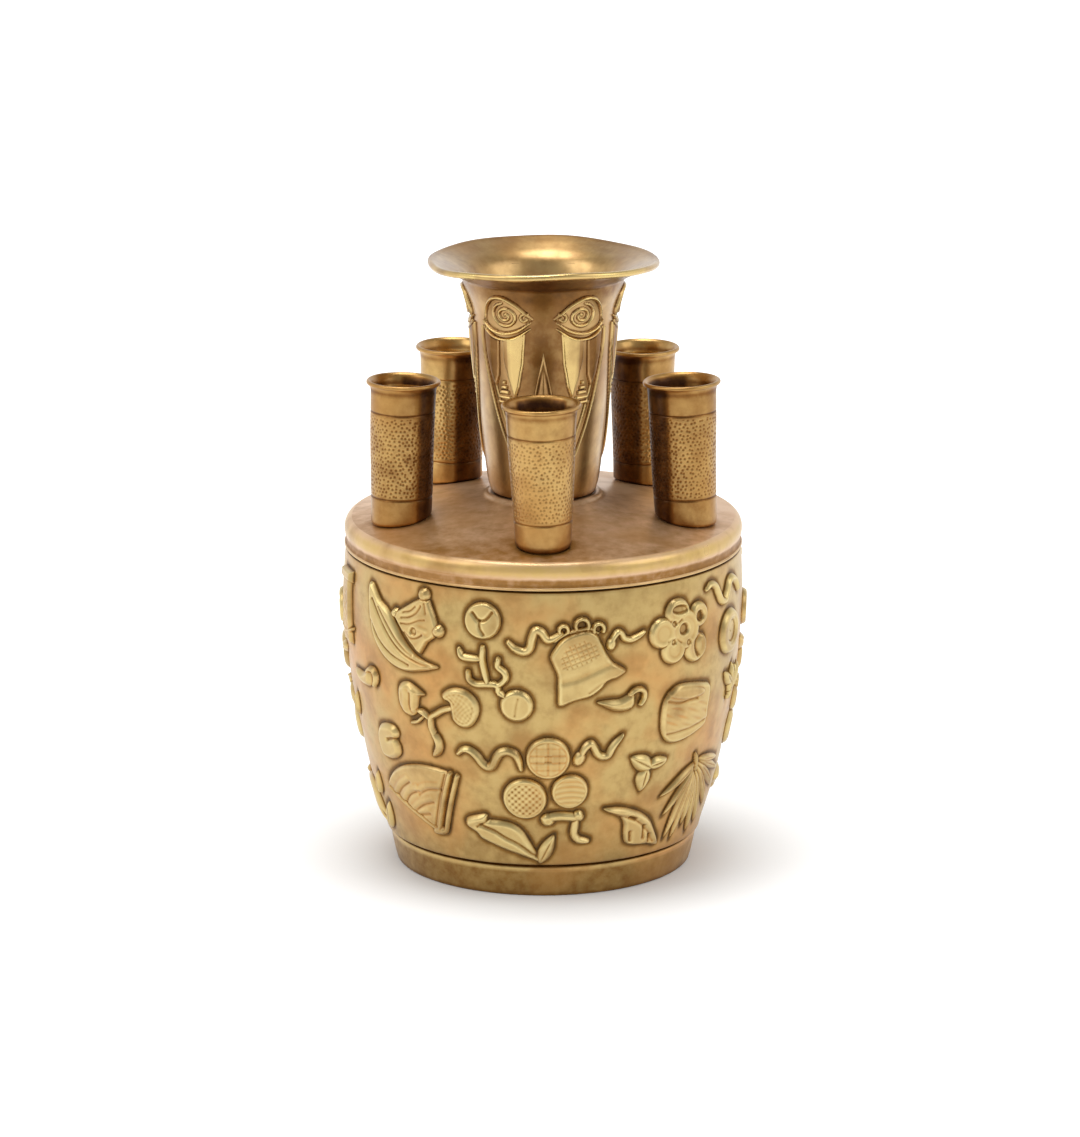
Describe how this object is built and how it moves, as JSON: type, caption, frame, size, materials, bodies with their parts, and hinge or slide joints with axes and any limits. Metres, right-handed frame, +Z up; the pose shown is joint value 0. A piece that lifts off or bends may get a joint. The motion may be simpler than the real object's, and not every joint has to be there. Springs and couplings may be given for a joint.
{
  "type": "six-tube vase",
  "caption": "Barrel-shaped brass vase with cast emblems, a domed shoulder, a flared central neck and small lipped tubes round it, all opening into the body.",
  "frame": {"origin": "centre of the foot's underside, where the vase stands", "axes": "+Z up along the vase's axis; -Y towards the front tube and the side that is pictured; +X to the right seen from the front"},
  "size_m": [0.1198, 0.1196, 0.18],
  "materials": {
    "cast_brass": "aged satin, cast relief with dark patina in the hollows",
    "neck_brass": "aged satin, worn brighter on the mouth",
    "plate_brass": "aged satin, browner, finely scratched",
    "tube_brass": "aged satin with a punched band",
    "base_brass": "dull, darkened",
    "spelter": "dull hard solder"
  },
  "bodies": {
    "root": {"body_shell": "cast_brass", "base_plate": "base_brass", "base_solder": "spelter", "shoulder_plate": "plate_brass", "shoulder_solder": "spelter", "neck": "neck_brass", "neck_solder": "spelter", "tube_front": "tube_brass", "tube_front_right": "tube_brass", "tube_back_right": "tube_brass", "tube_back_left": "tube_brass", "tube_front_left": "tube_brass", "tube_solder_front": "spelter", "tube_solder_front_right": "spelter", "tube_solder_back_right": "spelter", "tube_solder_back_left": "spelter", "tube_solder_front_left": "spelter"}
  },
  "joints": []
}
